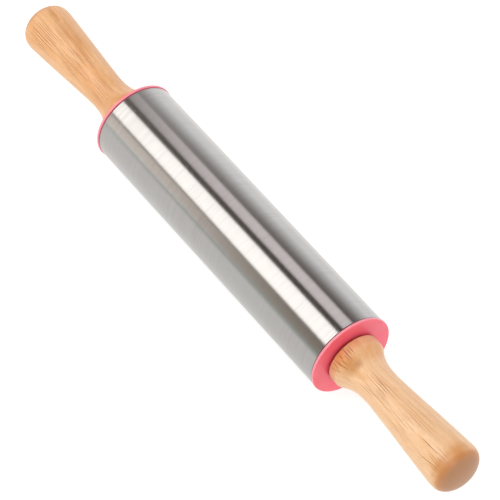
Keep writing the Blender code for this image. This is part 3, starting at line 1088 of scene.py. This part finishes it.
def threadOutline(start, end, crest, root, pitch):
    # ridges of a metric thread, drawn as rings
    crestEnd, rootStart, rootEnd = threadShares
    turns = int((end - start) / pitch)
    points = []
    for i in range(turns):
        points += [(start + pitch * i, crest), (start + pitch * (i + crestEnd), crest)]
        points += [(start + pitch * (i + rootStart), root), (start + pitch * (i + rootEnd), root)]
    return points + [(start + pitch * turns, crest)]


def halfAxleOutline(size):
    # from the middle outwards: the retaining ring's groove, the plain seat and the threaded end
    radius = size["radius"]
    groove = radius - size["grooveDepth"]
    pitch = size["threadPitch"]
    inboard = capFace + clipOutboard - retainingRing["thickness"] - seatGap
    outboard = capFace + clipOutboard + seatGap
    threadStart = capFace + handleFoot + handle["washerPocketDepth"]
    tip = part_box("axle_rod")[1].x
    chamferStart = tip - size["chamfer"]
    points = [(inboard, radius), (inboard, groove), (outboard, groove), (outboard, radius)]
    root = radius - size["threadDepth"]
    points += threadOutline(threadStart, chamferStart - pitch / 2, radius, root, pitch)
    return points + [(chamferStart, radius), (tip, radius - size["chamfer"]), (tip, 0)]


def retainingRingMesh(size):
    # an open ring with a prong at each side of its opening and one opposite; the opening hangs down
    opening = size["opening"]
    width = size["prongWidth"]
    firstEnd = opening + 2 * width
    lastStart = 360 - opening - 2 * width
    spans = [
        (opening, firstEnd, size["prong"]),
        (firstEnd, 180 - width, size["between"]),
        (180 - width, 180 + width, size["prong"]),
        (180 + width, lastStart, size["between"]),
        (lastStart, 360 - opening, size["prong"]),
    ]
    points = arcPoints(0, 0, size["outer"], 360 - opening, opening, size["outerSteps"])
    for first, last, radius in spans:
        points += arcPoints(0, 0, radius, first, last, size["innerSteps"])
    curve = bpy.data.curves.new("retainingRing", "CURVE")
    curve.dimensions = "2D"
    curve.fill_mode = "BOTH"
    curve.extrude = size["thickness"] / 2 - size["edge"]
    curve.bevel_depth = size["edge"]
    curve.bevel_resolution = 1
    curve.offset = -size["edge"]
    spline = curve.splines.new("POLY")
    spline.points.add(len(points) - 1)
    for point, place in zip(spline.points, points):
        point.co = (*place, 0, 1)
    spline.use_cyclic_u = True
    flat = linkObject("retainingRing", curve)
    mesh = bakedMesh(flat)
    bpy.data.objects.remove(flat)
    mesh.transform(Matrix.Rotation(math.pi / 2, 4, "Y"))
    shape = bmesh.new()
    shape.from_mesh(mesh)
    bmesh.ops.remove_doubles(shape, verts=shape.verts, dist=tinyDistance)
    bmesh.ops.recalc_face_normals(shape, faces=shape.faces)
    shape.to_mesh(mesh)
    shape.free()
    return shadeRound(mesh)


outerHalf = halfAxleOutline(axle)
innerHalf = [(-x, radius) for x, radius in reversed(outerHalf)]
# bright-drawn carbon steel: fine lines along the rod, a clean grey shine
axleSteel = markedMetal("brightDrawnSteel", axle)
putPiece("axle_rod", turnedMesh("axleRod", innerHalf + outerHalf, axle["segments"]), axleSteel)
ringSteel = phosphatedSpringSteel("phosphatedSpringSteel", retainingRing)
for endName, side in ends:
    seat = clipOutboard - retainingRing["thickness"] / 2
    clip = retainingRingMesh(retainingRing)
    putPiece("retaining_ring_" + endName, clip, ringSteel, side, seat)
print("axle and retaining rings made")


# Ball bearings, 8 x 22 x 7 mm

bearing = {
    "width": bearingWidth,
    "outer": 0.0110,
    "edge": 0.0003,
    "pitch": 0.00755,  # radius of the circle that the balls run on
    "ball": 0.0020,
    "track": 0.00215,
    "grooveDepth": 0.0009,
    "innerShoulder": 0.0063,
    "outerShoulder": 0.0088,
    "recess": 0.0097,
    "step": 0.0029,
    "balls": 7,
    "trackSteps": 16,
    "edgeSteps": 4,
    "segments": 96,
    "tones": ((0.32, "#bcbdc1"), (0.66, "#cfcfd2")),
    "roughness": (0.20, 0.12),
    "marks": (0.10, 12.0),  # mm; grinding lines run round, drawn twice as coarse as they are
    "relief": 0.000001,
}
shield = {
    "thickness": 0.0003,
    "inner": 0.00665,
    "outer": 0.0094,
    "bead": 0.00008,
    "tones": ((0.32, "#a3a4a7"), (0.66, "#b8b9bb")),
    "roughness": (0.40, 0.28),
    "marks": (1.5, 1.5),
    "relief": 0.000004,
}
cage = {
    "back": -0.0029,
    "front": 0.0012,
    "inner": 0.0067,
    "outer": 0.0084,
    "edge": 0.00015,
    "pocketSides": 40,
    "tones": ((0.35, "#ded9c4"), (0.7, "#e8e4d3")),
    "roughness": (0.45, 0.58),
    "grain": 0.4,  # mm
    "relief": 0.000005,
}
balls = {
    "tones": ((0.32, "#d2d3d8"), (0.66, "#dcdce0")),
    "roughness": (0.09, 0.05),
    "marks": (0.8, 0.8),
    "relief": 0.0000002,
}


def mouldedNylon(name, look):
    # glass-filled nylon 66, injection moulded: cream, slightly waxy, with a dry matt skin
    waxy = {"IOR": 1.53, "Subsurface Weight": 0.1, "Subsurface Scale": 0.001}
    material, tree, shader, place = startMaterial(name, waxy)
    grain = addNode(
        tree, "TexNoise", {"Scale": 1000 / look["grain"], "Detail": 3.0}, {"Vector": place},
    )
    followPattern(tree, shader, look, grain.outputs["Fac"])
    return material


def trackArc(size, side):
    # the ball's track across a ring, from -X to +X; side is 1 for the outer ring and -1 for the inner
    rise = side * math.degrees(math.acos((size["track"] - size["grooveDepth"]) / size["track"]))
    return arcPoints(0, size["pitch"], size["track"], side * 90 + rise, side * 90 - rise, size["trackSteps"])


def innerRingOutline(size):
    half = size["width"] / 2
    edge = size["edge"]
    steps = size["edgeSteps"]
    points = arcPoints(-half + edge, axle["bore"] + edge, edge, 270, 180, steps)
    points += arcPoints(-half + edge, size["innerShoulder"] - edge, edge, 180, 90, steps)
    points += trackArc(size, -1)
    points += arcPoints(half - edge, size["innerShoulder"] - edge, edge, 90, 0, steps)
    return points + arcPoints(half - edge, axle["bore"] + edge, edge, 0, -90, steps)


def outerRingOutline(size):
    half = size["width"] / 2
    edge = size["edge"]
    step = size["step"]
    points = [(-half, size["recess"]), (-step, size["recess"]), (-step, size["outerShoulder"])]
    points += trackArc(size, 1)
    points += [(step, size["outerShoulder"]), (step, size["recess"]), (half, size["recess"])]
    points += arcPoints(half - edge, size["outer"] - edge, edge, 0, 90, size["edgeSteps"])
    return points + arcPoints(-half + edge, size["outer"] - edge, edge, 90, 180, size["edgeSteps"])


def shieldOutline(size):
    # thin sheet with a shallow pressed bead half way up, away from the balls
    half = size["thickness"] / 2
    lift = size["bead"]
    third = (size["outer"] - size["inner"]) / 3
    low = size["inner"] + third
    high = size["outer"] - third
    front = [(half, size["inner"]), (half, low), (half + lift, low + lift)]
    front += [(half + lift, high - lift), (half, high), (half, size["outer"])]
    return front + [(x - 2 * half, radius) for x, radius in reversed(front)]


def cageMesh(size):
    # a ring with a round pocket for each ball
    outline = boxOutline(size["back"], size["front"], size["inner"], size["outer"], size["edge"])
    ring = turnedMesh("bearingCage", outline, bearing["segments"])
    shape = bmesh.new()
    for i in range(bearing["balls"]):
        turn = Matrix.Rotation(math.tau * i / bearing["balls"], 4, "X")
        bmesh.ops.create_cone(
            shape, cap_ends=True, segments=size["pocketSides"], radius1=bearing["track"],
            radius2=bearing["track"], depth=2 * bearing["ball"],
            matrix=turn @ Matrix.Translation((0, 0, bearing["pitch"])),
        )
    return joinOrCut(ring, meshFrom(shape, "cagePockets"), "DIFFERENCE")


def ballMesh(radius):
    shape = bmesh.new()
    bmesh.ops.create_icosphere(shape, subdivisions=4, radius=radius)
    mesh = meshFrom(shape, "bearingBall")
    mesh.shade_smooth()
    return mesh


# through-hardened chrome steel, ground: bright, with hair-fine lines round the rings
bearingSteel = markedMetal("groundBearingSteel", bearing)
# the same steel lapped to a mirror
ballSteel = markedMetal("lappedBallSteel", balls)
# thin cold-rolled sheet, pressed: greyer and softer, slightly mottled by the press
shieldSteel = markedMetal("pressedShieldSteel", shield)
cageNylon = mouldedNylon("mouldedNylon66", cage)
for endName, side in ends:
    inner = turnedMesh("bearingInnerRing", innerRingOutline(bearing), bearing["segments"])
    putPiece("bearing_inner_ring_" + endName, inner, bearingSteel, side, bearingMiddle)
    outer = turnedMesh("bearingOuterRing", outerRingOutline(bearing), bearing["segments"])
    putPiece("bearing_outer_ring_" + endName, outer, bearingSteel, side, bearingMiddle)
    for place, direction in (("outboard", 1), ("inboard", -1)):
        sheet = turnedMesh("bearingShield", shieldOutline(shield), bearing["segments"])
        if direction < 0:
            sheet.transform(Matrix.Rotation(math.pi, 4, "Z"))
        seat = bearingMiddle + direction * (bearing["width"] - shield["thickness"]) / 2
        putPiece("bearing_shield_" + place + "_" + endName, sheet, shieldSteel, side, seat)
    putPiece("bearing_cage_" + endName, cageMesh(cage), cageNylon, side, bearingMiddle)
    for i in range(bearing["balls"]):
        angle = math.tau * i / bearing["balls"]
        off = (-bearing["pitch"] * math.sin(angle), bearing["pitch"] * math.cos(angle))
        node = "bearing_ball_" + endName + "_" + str(i + 1)
        putPiece(node, ballMesh(bearing["ball"]), ballSteel, side, bearingMiddle, off)
print("bearings fitted")


# Sleeve, washer and threaded insert, between the bearing and the handle

sleeve = {"outer": 0.0056, "edge": 0.0002}
washer = {"outer": 0.0075, "thickness": 0.0012, "edge": 0.00025}
insert = {
    "start": 0.0029, "length": 0.0180, "outer": 0.0056, "barb": 0.0006, "barbs": 3, "threadDepth": 0.0004,
}
zinc = {
    "tones": ((0.32, "#b1b7c1"), (0.66, "#c9ccd2")),
    "roughness": (0.36, 0.22),
    "marks": (1.2, 1.2),
    "relief": 0.000003,
}
brass = {
    "tones": ((0.32, "#c79f4f"), (0.66, "#dcb96b")),
    "roughness": (0.32, 0.20),
    "marks": (0.12, 14.0),
    "relief": 0.000003,
}


def insertOutline(size):
    # barbs rise slowly outboard and end in a step towards the foot; the bore is threaded
    pitch = size["length"] / size["barbs"]
    bore = axle["bore"]
    points = []
    for i in range(size["barbs"]):
        points += [(pitch * i, size["outer"] + size["barb"]), (pitch * (i + 1), size["outer"])]
    thread = threadOutline(0, size["length"], bore, bore + size["threadDepth"], axle["threadPitch"])
    return points + [(size["length"], bore)] + thread[::-1]


# electroplated zinc with a clear passivate: pale, cool and faintly cloudy
zincSteel = markedMetal("zincPlatedSteel", zinc)
# free-cutting brass, turned from bar: yellow, with fine lines round it
insertBrass = markedMetal("turnedBrass", brass)
sleeveStart = bearingOutboard + seatGap
sleeveOutline = boxOutline(
    0, handleFoot - seatGap - sleeveStart, axle["bore"], sleeve["outer"], sleeve["edge"],
)
washerOutline = boxOutline(0, washer["thickness"], axle["bore"], washer["outer"], washer["edge"])
bushOutline = insertOutline(insert)
fittings = (
    ("spacer_sleeve_", "spacerSleeve", sleeveOutline, zincSteel, "zinc_steel", sleeveStart),
    ("clamp_washer_", "clampWasher", washerOutline, zincSteel, "zinc_steel", handleFoot),
    ("threaded_insert_", "threadedInsert", bushOutline, insertBrass, "insert_brass", insert["start"]),
)
for endName, side in ends:
    for node, meshName, outline, metal, slotName, start in fittings:
        mesh = turnedMesh(meshName, outline, axle["segments"])
        putPiece(node + endName, mesh, metal, side, start)
print("sleeves, washers and inserts fitted")
